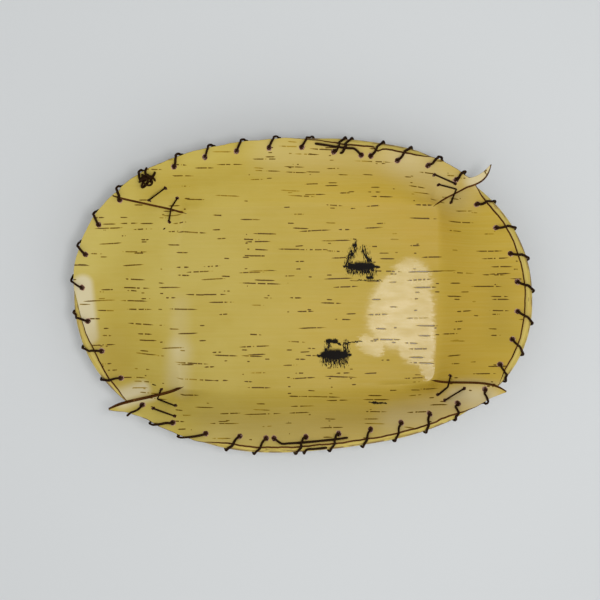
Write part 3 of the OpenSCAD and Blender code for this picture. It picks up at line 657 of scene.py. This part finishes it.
def withe_material():
    t = Tree("withe_split")
    deep, pale, tan = (0.46, 0.34, 0.06), (0.57, 0.44, 0.11), (0.52, 0.33, 0.09)
    rind_brown, speck_brown = (0.16, 0.085, 0.035), (0.2, 0.12, 0.04)
    flat = t.flat()
    _, round_it, _ = t.parts(flat)
    grain = t.grain(flat, (22, 900), 5, 0.62)
    cloud = t.grain(flat, (30, 60), 3)
    colour = t.mix(t.ramp(grain, 0.3, 0.7), deep, pale)
    colour = t.mix(t.ramp(cloud, 0.52, 0.75, 0, 0.5), colour, tan)
    outer = t.ramp(t.math("ABSOLUTE", t.math("SUBTRACT", round_it, 0.0004)), 0.0042, 0.0014)
    rind = t.grain(flat, (55, 260), 4, 0.65)
    rind = t.mul(outer, t.ramp(rind, 0.46, 0.54))
    colour = t.mix(t.mul(rind, 0.85), colour, rind_brown)
    speck = t.dashes(flat, (0.03, 0.005), 0.35, (0.003, 0.012), 0.0003, 5.5)
    colour = t.mix(t.mul(speck, 0.6), colour, speck_brown)
    relief = t.math("ADD", grain, t.mul(rind, 0.6))
    return t.shade(Base_Color=colour, Roughness=t.ramp(cloud, 0.3, 0.7, 0.45, 0.6), Specular_IOR_Level=0.2,
                   Normal=t.bump(relief, 0.0002, 0.6))


# The sheet: base, walls with their laps, underside and cut edges
def ragged_edge(a):
    """The hand-cut edge: small waves and a few torn nicks."""
    w = sum(high * sind(count * a + phase) for high, count, phase in EDGE_WAVES)
    for at, half, deep in NICKS:
        w = w - deep * np.exp(-(np.radians(turn(a, at)) * NICK_R / half) ** 4)
    return w


def rim_edge(k, a):
    """A wall's upper edge, drawn out to the ends of its cut edges."""
    out = edge_r(a) + ragged_edge(a)
    for c in (k, (k + 1) % 4):
        p = (FLAP_CURVE if k % 2 == 0 else UNDER_CURVE)[c][3]
        r, at = length(p), angle_of(p)
        d = r * np.radians(abs(turn(a, at)))
        span, power = (HORN_SPAN[c], HORN_POWER[c]) if k % 2 == 0 else (UNDER_SPAN, UNDER_POWER)
        out = out + (r - edge_r(at) - ragged_edge(at)) * np.maximum(0, 1 - d / span) ** power
    return polar(out, a)


def hooked(p):
    """The first corner's flap, whose long tip curves like a hook."""
    d, across = p - TIP[0], polar(1, HOOK_DIR - 90)
    share = np.clip(-(d @ polar(1, HOOK_DIR)) / HOOK_RUN, 0, 1)
    bend = HOOK * np.sin(np.pi * share) * ease((HOOK_WIDE - abs(d @ across)) / HOOK_FADE)
    return p + bend[..., None] * across


def wall_plan(k, u, v):
    """A wall's places in plan, for shares along its fold and up from it."""
    n = (k + 1) % 4
    m = (1 - np.cos(np.pi * u)) / 2
    curves = FLAP_CURVE if k % 2 == 0 else UNDER_CURVE
    e0, e1 = curves[k], curves[n]
    a0, b0 = angle_of(e0[3]), CORNER_A[k]
    b = b0 + m * ((CORNER_A[n] - b0) % 360)
    a = a0 + m * ((angle_of(e1[3]) - a0) % 360)
    foot, rim = polar(base_r(b), b), rim_edge(k, a)
    p = foot + (rim - foot) * v[..., None]
    for e, near in ((e0, m), (e1, 1 - m)):
        bend = bezier(e, v) - (e[0] + (e[3] - e[0]) * v[..., None])
        p = p + bend * (np.maximum(0, 1 - near / BEND_SHARE) ** 2)[..., None]
    return hooked(p) if k == 0 else p


def slanted(edge, rows, c):
    """The lower line of a flap's slanted cut edge, which rests on the wall below."""
    along = unit(np.gradient(edge[:, :2], axis=0))
    out = LAP_SIDE[c] * np.stack([along[:, 1], -along[:, 0]], -1)
    less = 1 - EDGE_LESS * ease((rows - (1 - EDGE_EASE)) / EDGE_EASE)
    p = edge[:, :2] + (EDGE_SLANT[c] * ease(rows / EDGE_EASE) * less)[:, None] * out
    rest = BARK_T + wall_z(p) - soft_crease(p) + EDGE_REST
    high, low = edge[:, 2] - EDGE_THIN, edge[:, 2] - EDGE_DEEP
    return np.column_stack([p, np.maximum(np.minimum(rest, high), low)])


def wall_grid(k):
    """One wall's points above, below and on the sheet laid flat."""
    n = (k + 1) % 4
    rows = np.linspace(0, 1, ROWS + 1) ** ROW_POWER
    u, v = np.meshgrid(np.linspace(0, 1, COLUMNS[k] + 1), rows, indexing="ij")
    p = wall_plan(k, u, v)
    z = BARK_T + wall_z(p) - soft_crease(p) + sway(p)
    if k % 2 == 0:
        z = z + np.maximum(flap_z(p, k), flap_z(p, n))
    z[:, 0] = BARK_T + sway(p[:, 0])
    top = np.concatenate([p, z[..., None]], -1)
    normal = wall_normal(p)
    normal[:, 0] = (0, 0, 1)
    under = top - BARK_T * normal
    slant = RIM_SLANT - RIM_UNDERCUT * covered(angle_of(p[:, -1]))
    under[:, -1] += slant[:, None] * unit(top[:, -1] - top[:, -2])
    if k % 2 == 0:
        for c, edge in ((k, 0), (n, -1)):
            under[edge] = slanted(top[edge], rows, c)
    way = unit(p[:, -1] - p[:, 0])
    run = np.concatenate([np.zeros((len(p), 1)), np.cumsum(length(np.diff(top, axis=1)), 1)], 1)
    return top, under, p[:, :1] + way[:, None] * run[..., None]


def base_points(p):
    """Points of the base above, below and on the sheet laid flat."""
    z = sway(p)[:, None]
    return np.hstack([p, BARK_T + z]), np.hstack([p, z]), p


def sheet_points(walls):
    """All points above, below and laid flat, and the numbers of those in walls and base."""
    ring = np.arange(sum(COLUMNS))
    fold = [np.concatenate([wall[side][:-1, 0] for wall in walls]) for side in range(3)]
    blocks, wall_ids, rings = [fold], [], [ring]
    start, count = 0, len(ring)
    for wall, columns in zip(walls, COLUMNS):
        ids = np.empty(wall[0].shape[:2], dtype=int)
        ids[:, 0] = ring[(start + np.arange(columns + 1)) % len(ring)]
        ids[:, 1:] = count + np.arange(ids[:, 1:].size).reshape(ids[:, 1:].shape)
        start += columns
        count += ids[:, 1:].size
        wall_ids.append(ids)
        blocks.append([side[:, 1:].reshape(-1, side.shape[-1]) for side in wall])
    middle = np.array([BASE_X, BASE_Y])
    for i in range(1, BASE_ROWS):
        blocks.append(base_points(middle + (fold[0][:, :2] - middle) * (1 - i / BASE_ROWS)))
        rings.append(count + ring)
        count += len(ring)
    blocks.append(base_points(middle[None]))
    tops, unders, flats = (np.concatenate(side) for side in zip(*blocks))
    unders[:, 2] = np.maximum(unders[:, 2], 0)
    return (tops, unders, flats), wall_ids, rings


def sheet_faces(wall_ids, rings):
    """Faces of the upper side: four-sided ones, and the fan round the middle point."""
    quads = [np.stack([ids[:-1, :-1], ids[:-1, 1:], ids[1:, 1:], ids[1:, :-1]], -1).reshape(-1, 4)
             for ids in wall_ids]
    quads += [np.stack([outer, np.roll(outer, -1), np.roll(inner, -1), inner], -1)
              for outer, inner in zip(rings[:-1], rings[1:])]
    last = rings[-1]
    fan = np.stack([last, np.roll(last, -1), np.full(len(last), last[-1] + 1)], -1)
    return np.concatenate(quads), fan


def cut_edge(top, under):
    """The strip that closes a wall's open sides: lines of points, and their UVs."""
    line, low = (np.concatenate([side[0, :-1], side[:, -1], side[-1, -2::-1]]) for side in (top, under))
    out = unit(np.cross(np.gradient(line, axis=0), line - low))
    lines = [line, *(line + share * (low - line) + EDGE_BULGE * out for share in BULGE_SHARES), low]
    last = len(lines) - 1
    run = run_of(line) * MM
    uv = [np.column_stack([run, np.full(len(line), i / last * BARK_T * MM)]) for i in range(len(lines))]
    return lines, uv


def bark():
    walls = [wall_grid(k) for k in range(4)]
    (tops, unders, flats), wall_ids, rings = sheet_points(walls)
    quads, fan = sheet_faces(wall_ids, rings)
    below, one_side = len(tops), len(quads) + len(fan)
    faces = quads.tolist() + fan.tolist()
    faces += (quads[:, ::-1] + below).tolist() + (fan[:, ::-1] + below).tolist()
    kinds = [0] * one_side + [1] * one_side
    points, uv = [tops, unders], [flats * MM, flats * MM]
    count = 2 * below
    for top, under, _ in walls:
        lines, flat = cut_edge(top, under)
        points += lines
        uv += flat
        m = len(lines[0])
        strip = grid_faces(len(lines), m, count).tolist()
        faces += strip
        kinds += [2] * len(strip)
        count += len(lines) * m
    obj = piece("bark_sheet_folded", np.concatenate(points), faces, np.concatenate(uv),
                [inner_bark(), outer_bark(), cut_bark()], kinds)
    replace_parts(obj, "bark_sheet")
    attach(obj, "root")


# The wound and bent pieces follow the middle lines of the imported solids
def neighbours(node):
    """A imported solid's points, and the neighbours of each along its edges."""
    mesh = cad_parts[node].data
    mesh.calc_loop_triangles()
    co = np.empty(len(mesh.vertices) * 3)
    mesh.vertices.foreach_get("co", co)
    tri = np.empty(len(mesh.loop_triangles) * 3, dtype=np.int32)
    mesh.loop_triangles.foreach_get("vertices", tri)
    spots, where = np.unique(np.round(co.reshape(-1, 3) / MM, 3), axis=0, return_inverse=True)
    beside = [set() for _ in spots]
    for a, b, c in where.ravel()[tri].reshape(-1, 3).tolist():
        if len({a, b, c}) == 3:
            beside[a] |= {b, c}
            beside[b] |= {a, c}
            beside[c] |= {a, b}
    return spots, beside


def rings_of(node):
    """Rings of points along a packed tube. Only points at its ends don't have six neighbours."""
    spots, beside = neighbours(node)
    ends = {i for i, s in enumerate(beside) if len(s) != 6}
    first = {min(ends)}
    more = first
    while more:
        more = {w for v in first for w in beside[v] if w in ends} - first
        first |= more
    layers, done = [sorted(first)], set(first)
    while layers[-1]:
        layers.append(sorted({w for v in layers[-1] for w in beside[v]} - done))
        done |= set(layers[-1])
    return [spots[i] for i in layers[:-1]]


def between(t, t0, t1, a, b):
    return (t1 - t) / (t1 - t0) * a + (t - t0) / (t1 - t0) * b


def smooth_line(points, step):
    """A curve through the points, with even small steps."""
    p = np.vstack([2 * points[0] - points[1], points, 2 * points[-1] - points[-2]])
    out = []
    for i in range(1, len(p) - 2):
        k = np.sqrt(np.maximum(length(np.diff(p[i - 1:i + 3], axis=0)), 1e-6))
        t0, t1 = 0, k[0]
        t2, t3 = t1 + k[1], t1 + k[1] + k[2]
        t = np.linspace(t1, t2, max(2, int(np.ceil(k[1] ** 2 / step)) + 1))[:-1, None]
        a1 = between(t, t0, t1, p[i - 1], p[i])
        a2 = between(t, t1, t2, p[i], p[i + 1])
        a3 = between(t, t2, t3, p[i + 1], p[i + 2])
        b1, b2 = between(t, t0, t2, a1, a2), between(t, t1, t3, a2, a3)
        out.append(between(t, t1, t2, b1, b2))
    return np.vstack(out + [points[-1:]])


def crossings(path):
    """Where a strand passes through the top of the sheet, and its height over it."""
    p = path[:, :2]
    over = path[:, 2] - sheet_z(p)
    inside = length(p) < edge_r(angle_of(p)) - HOLE_CLEAR
    return np.where((over[:-1] * over[1:] < 0) & inside[:-1] & inside[1:])[0], over


def round_path(path, r, t, side, other):
    """Points round a path at distances r and angles t, from one side towards the other."""
    ring = np.cos(t)[:, None] * side[:, None] + np.sin(t)[:, None] * other[..., None, :]
    return (path[:, None] + r[..., None] * ring).reshape(-1, 3)


def sleeve(rows, around, flip=1):
    """Faces of a closed tube. Each row's last point lies on its first."""
    n = around + 1
    faces = grid_faces(rows, n)[:, [0, 3, 2, 1]][:, ::flip].tolist()
    first, last = list(range(around - 1, -1, -1)), list(range((rows - 1) * n, (rows - 1) * n + around))
    return faces + [first[::flip], last[::flip]]


# Split root: a strand's sides, first side's rough direction, taper at its ends, steps along it, range of
# phases, and unevenness along it as height and span, and round it as height, count and span
ROOT_SIDES, FIRST_SIDE, END_TAPER = 14, (0.31, 0.2, 0.93), (0.55, 0.8, 0.95)
ROOT_STEP, FINE_STEP, ANY_PHASE = 0.7, 0.5, 6.28
THICK_WAVE, THICK_RIPPLE, OVAL_WAVE = (0.07, 9), (0.05, 3.7), (0.07, 14)
KNOBS = ((0.04, 3, 6), (0.03, 5, np.inf))


def wave(run, kind, phase):
    high, span = kind
    return high * np.sin(run / span + phase)


def carried(way):
    """A direction square to a path at each place, carried along it without twisting."""
    side, out = unit(np.cross(way[0], FIRST_SIDE)), []
    for w in way:
        side = unit(side - (side @ w) * w)
        out.append(side)
    return np.array(out)


def tube(name, path, radius, material):
    """A strand of split root along a path, a little uneven."""
    way, run = unit(np.gradient(path, axis=0)), run_of(path)
    phase = rng.uniform(0, ANY_PHASE, 6)
    side = carried(way)
    t = full_turn(ROOT_SIDES)
    thick = 1 + wave(run, THICK_WAVE, phase[0]) + wave(run, THICK_RIPPLE, phase[1])
    thick[:3] *= END_TAPER
    thick[-3:] *= END_TAPER[::-1]
    oval = wave(run, OVAL_WAVE, phase[2])
    knobs = sum(high * np.sin(count * t + run[:, None] / span + own)
                for (high, count, span), own in zip(KNOBS, phase[3:]))
    r = radius * (thick[:, None] * (1 + oval[:, None] * np.cos(2 * t)) + knobs)
    points = round_path(path, r, t, side, np.cross(way, side))
    uv = grid_uv(run[:, None] * MM, t * radius * MM)
    obj = piece(name, points, sleeve(len(path), ROOT_SIDES), uv, [material])
    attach(obj, "root")
    return obj


# In the view from above: where each corner's inner stitch bends over the flap's edge, and from where to where
# one hole of the first corner moves. Then how far round it the strand moves, and steps of a pulled thread
STITCH_BEND = ((455, 190), (169.5, 207), (157.5, 398.5), (448.7, 387.5))
NUDGE_FROM, NUDGE_TO, NUDGE_REACH, NUDGE_HOLD = (454.5, 187.5), (455.5, 184), 6, 1.5
PULL_STEPS = 40


def pulled(points):
    """A thread pulled tight over the sheet along a line of places."""
    way = run_of(points)
    far = np.linspace(0, way[-1], PULL_STEPS)
    p = np.stack([np.interp(far, way, points[:, i]) for i in range(2)], -1)
    z = sheet_z(p) + STITCH_R
    keep = [0]
    for m in range(1, len(far)):
        while len(keep) > 1 and ((z[keep[-1]] - z[keep[-2]]) * (far[m] - far[keep[-1]])
                                 <= (z[m] - z[keep[-1]]) * (far[keep[-1]] - far[keep[-2]])):
            keep.pop()
        keep.append(m)
    return np.column_stack([p, np.interp(far, far[keep], z[keep])])


def nudged(path):
    """The first corner's strand with one hole moved a little along the sheet."""
    old, new = plan_spot(NUDGE_FROM, LAP_SEEN), plan_spot(NUDGE_TO, LAP_SEEN)
    shift = (new - old) * ease(NUDGE_HOLD - length(path[:, :2] - old) / NUDGE_REACH)[:, None]
    p = path[:, :2] + shift
    return np.column_stack([p, path[:, 2] + sheet_z(p) - sheet_z(path[:, :2])])


def taut(path, corner):
    """A corner's strand with its upper runs pulled tight, the inner one over its bend."""
    at, _ = crossings(path)
    bend = plan_spot(STITCH_BEND[corner], LAP_SEEN)
    out, last = [], 0
    for i, j in zip(at[::2], at[1::2]):
        ends = path[[i, j + 1], :2]
        inner = sheet_lift(ends).min() < EDGE_REST
        run = pulled(np.array([ends[0], bend, ends[1]]) if inner else ends)
        run[0, 2], run[-1, 2] = path[i, 2], path[j + 1, 2]
        out += [path[last:i], run]
        last = j + 2
    return smooth_line(np.concatenate(out + [path[last:]])[::2], FINE_STEP)


def outward(path):
    """How far a rim strand is from the line of holes, 0, to the outside of the hoop, 1."""
    a = angle_of(path)
    hole = rim_r(a) - edge_r(a) + HOLE_EDGE
    return np.clip((hole - rim_r(a) + length(path[:, :2])) / (hole + HOOP_OUT), 0, 1)


def leaning(path):
    """Rim stitches that lie more along the rim in one stretch of it."""
    a = angle_of(path)
    here = ease((LEAN_HALF + LEAN_SOFT - abs(turn(a, LEAN_AT))) / LEAN_SOFT)
    lean = LEAN + LEAN_MORE * turn(a, LEAN_AT)
    turned = a - np.degrees(lean / rim_r(a)) * outward(path) * here
    p = polar(length(path[:, :2]) + rim_r(turned) - rim_r(a), turned)
    return np.column_stack([p, path[:, 2] + sheet_lift(p) - sheet_lift(path[:, :2])])


def bowed(path):
    """Rim stitches that leave their holes straight and lean onward over the hoop."""
    a = angle_of(path)
    share = outward(path)
    shift = BOW * 4 * share * (1 - share) * ease((path[:, 2] - BOW_LOW) / BOW_RISE)
    return path + shift[:, None] * np.stack([-sind(a), cosd(a), np.zeros(len(a))], -1)


# The rim's strands, and the knot at the end of the last one, in the view from above. The short ends that make
# it a clump: direction, length and turn, the share behind the knot's middle, points, and the clump's size
RIM_STRANDS, KNOT_AT = ("rim_lashing_a", "rim_lashing_b", "rim_lashing_c"), (149, 177)
KNOT_ENDS = ((95, 7.5, 60), (35, 7, -70), (-35, 6.5, 50), (-150, 7.5, -60), (160, 5.5, 80), (-80, 5, 90))
KNOT_BACK, KNOT_POINTS, KNOT_HIGH, KNOT_WIDE = 0.35, 8, 2.6, 4.2


def tucked(path):
    """The last strand without its tail, so that it ends below the sheet."""
    knot = plan_spot(KNOT_AT, KNOT_SEEN)
    if length(path[0, :2] - knot) < length(path[-1, :2] - knot):
        path = path[::-1]
    return path[:crossings(path)[0][-1] - 1]


def strand(node, material, corner=None):
    path = smooth_line(np.array([r.mean(0) for r in rings_of(node)]), ROOT_STEP)
    if node == RIM_STRANDS[-1]:
        path = tucked(path)
    if corner == 0:
        path = nudged(path)
    path = leaning(bowed(path)) if corner is None else taut(path, corner)
    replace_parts(tube(node + "_root", path, ROOT_R if corner is None else STITCH_R, material), node)
    return path


def knot_ends(material):
    middle = plan_spot(KNOT_AT, KNOT_SEEN)
    share = np.linspace(-KNOT_BACK, 1, KNOT_POINTS)
    for number, (way, far, bent) in enumerate(KNOT_ENDS):
        p = middle + far * share[:, None] * polar(1, way + bent * (1 - share))
        high = ROOT_R + KNOT_HIGH * np.exp(-(far * share / KNOT_WIDE) ** 2)
        path = smooth_line(np.column_stack([p, sheet_z(p) + high]), FINE_STEP)
        tube("knot_end_%d" % (number + 1), path, ROOT_R, material)


# The hoop's withes: sides, steps per ring of the solid, rounds of smoothing, rough radius, and unevenness as
# height and span
HOOP_SIDES, HOOP_FINE, HOOP_SMOOTH, HOOP_R = 24, 4, 3, 3.6
WHITTLE_WAVE, WHITTLE_RIPPLE = (0.02, 21), (0.015, 8)
UP = np.array([0, 0, 1.0])


def hoop_sides(path):
    """The level direction along a hoop, and the one square to it, outwards."""
    way = unit(np.gradient(path, axis=0) * (1, 1, 0))
    side = np.cross(way, UP)
    return way, side * np.sign(np.sum(side * path, -1))[:, None]


def ring_reach(ring, middle, side, t):
    """A ring's reach from its middle at angles t, from the outside upwards."""
    x, z = (ring - middle) @ side, (ring - middle)[:, 2]
    a = np.arctan2(z, x)
    order = np.argsort(a)
    return np.interp(half_turns(t), a[order], np.hypot(x, z)[order], period=2 * np.pi)


def hoop(node, material):
    rings = rings_of(node)
    middle = np.array([r.mean(0) for r in rings])
    t = full_turn(HOOP_SIDES)
    reach = np.array([ring_reach(*one, t) for one in zip(rings, middle, hoop_sides(middle)[1])])
    index = np.arange(len(rings))
    fine = np.linspace(0, len(rings) - 1, HOOP_FINE * (len(rings) - 1) + 1)
    reach, path = (np.stack([np.interp(fine, index, column) for column in rows.T], -1)
                   for rows in (reach, middle))
    for _ in range(HOOP_SMOOTH):
        path[1:-1] = 0.5 * path[1:-1] + 0.25 * (path[:-2] + path[2:])
    way, side = hoop_sides(path)
    run = run_of(path)
    phase = rng.uniform(0, ANY_PHASE, 4)
    whittled = 1 + wave(run, WHITTLE_WAVE, phase[0]) + wave(run, WHITTLE_RIPPLE, phase[1])
    points = round_path(path, reach * whittled[:, None], t, side, UP)
    flip = 1 if np.cross(side[0], way[0])[2] < 0 else -1
    angle = half_turns(t)
    angle[-1] = angle[-2] + 2 * np.pi / HOOP_SIDES
    uv = grid_uv(run[:, None] * MM, angle * HOOP_R * MM)
    obj = piece(node + "_withe", points, sleeve(len(path), HOOP_SIDES, flip), uv, [material])
    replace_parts(obj, node)
    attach(obj, "root")


# Awl holes' torn mouths: sides, rings, the share where they start, sizes of their flat coordinates, the
# outline's waves as height and count, and the lips' height, power, wave, least height and sunk outline
MOUTH_SIDES, MOUTH_RINGS, MOUTH_START, UV_R, UV_JUMP = 22, 6, 0.15, 2, 0.05
MOUTH_WAVES = ((0.3, 1), (0.22, 2), (0.16, 5))
LIP_HIGH, LIP_POWER, LIP_WAVE, LIP_LEAST, LIP_SUNK = 0.3, 1.5, (0.4, 3), 0.05, 0.15


def holes_of(path):
    """The places where a strand passes through the top of the sheet."""
    at, over = crossings(path)
    share = (over[at] / (over[at] - over[at + 1]))[:, None]
    return path[at, :2] + share * (path[at + 1, :2] - path[at, :2])


def hole_rims(spots):
    points, faces, uv = [], [], []
    a = full_turn(MOUTH_SIDES)
    share = np.linspace(MOUTH_START, 1, MOUTH_RINGS)[:, None]
    for number, (middle, wide) in enumerate(spots):
        phase = rng.uniform(0, ANY_PHASE, 5)
        for (high, count), own in zip(MOUTH_WAVES, phase):
            wide = wide + high * np.sin(count * a + own)
        p = middle + (share * wide)[..., None] * np.stack([np.cos(a), np.sin(a)], -1)
        high, count = LIP_WAVE
        lip = LIP_HIGH * np.sin(np.pi * share ** LIP_POWER) * (1 + high * np.sin(count * a + phase[3]))
        z = sheet_z(p) + np.where(share < 1, lip + LIP_LEAST, -LIP_SUNK)
        points.append(np.concatenate([p, z[..., None]], -1).reshape(-1, 3))
        uv.append(grid_uv(share * wide * MM, a * UV_R * MM + UV_JUMP * phase[4]))
        faces += grid_faces(MOUTH_RINGS, len(a), number * MOUTH_RINGS * len(a)).tolist()
    obj = piece("bark_awl_holes", np.concatenate(points), faces, np.concatenate(uv), [torn_bark()])
    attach(obj, "root")


# Stage, light and camera
def floor():
    half, z = 15000, -0.2
    t = Tree("floor_pale")
    t.shade(Base_Color=(0.64, 0.648, 0.65, 1), Roughness=0.9, Specular_IOR_Level=0.1)
    uv = [(0, 0), (1, 0), (1, 1), (0, 1)]
    points = [((2 * u - 1) * half, (2 * v - 1) * half, z) for u, v in uv]
    obj = piece("floor", points, [[0, 1, 2, 3]], uv, [t.material], smooth=False)


def panel(name, at, size, watts, colour):
    light = bpy.data.lights.new(name, "AREA")
    light.color = colour
    light.shape = "RECTANGLE"
    light.size, light.size_y = size
    light.energy = watts
    placed(name, light).location = at


def studio():
    """A cool, even room that is brighter towards the lower side of the view."""
    low, high, low_strength, high_strength = -0.9, 0.9, 1.1, 0.45
    world = bpy.data.worlds.new("studio")
    bpy.context.scene.world = world
    world.use_nodes = True
    tree = world.node_tree
    back = tree.nodes["Background"]
    coord = tree.nodes.new("ShaderNodeTexCoord")
    split = tree.nodes.new("ShaderNodeSeparateXYZ")
    level = tree.nodes.new("ShaderNodeMapRange")
    tree.links.new(coord.outputs["Generated"], split.inputs[0])
    tree.links.new(split.outputs[1], level.inputs[0])
    for i, v in enumerate((low, high, low_strength, high_strength)):
        level.inputs[i + 1].default_value = v
    tree.links.new(level.outputs[0], back.inputs["Strength"])
    back.inputs["Color"].default_value = (0.97, 0.99, 1.0, 1)


def camera():
    data = bpy.data.cameras.new("camera")
    data.lens, data.sensor_width = 73.5, 36
    view = placed("camera", data)
    view.location = (CAMERA_X * MM, CAMERA_Y * MM, CAMERA_Z * MM)
    bpy.context.scene.camera = view


bark()
withe = withe_material()
for name in ("rim_hoop_left", "rim_hoop_right"):
    hoop(name, withe)
root = root_material()
spots = []
for name in RIM_STRANDS:
    spots += [(p, HOLE_R) for p in holes_of(strand(name, root))]
for corner in range(4):
    spots += [(p, FINE_HOLE_R) for p in holes_of(strand("corner_stitch_%d" % (corner + 1), root, corner))]
knot_ends(root)
hole_rims(spots)
floor()
panel("key_panel", (0.175, -0.026, 1.10), (0.2, 0.26), 3.75, (0.96, 0.976, 0.985))
studio()
camera()
bpy.context.scene.view_settings.view_transform = "Standard"
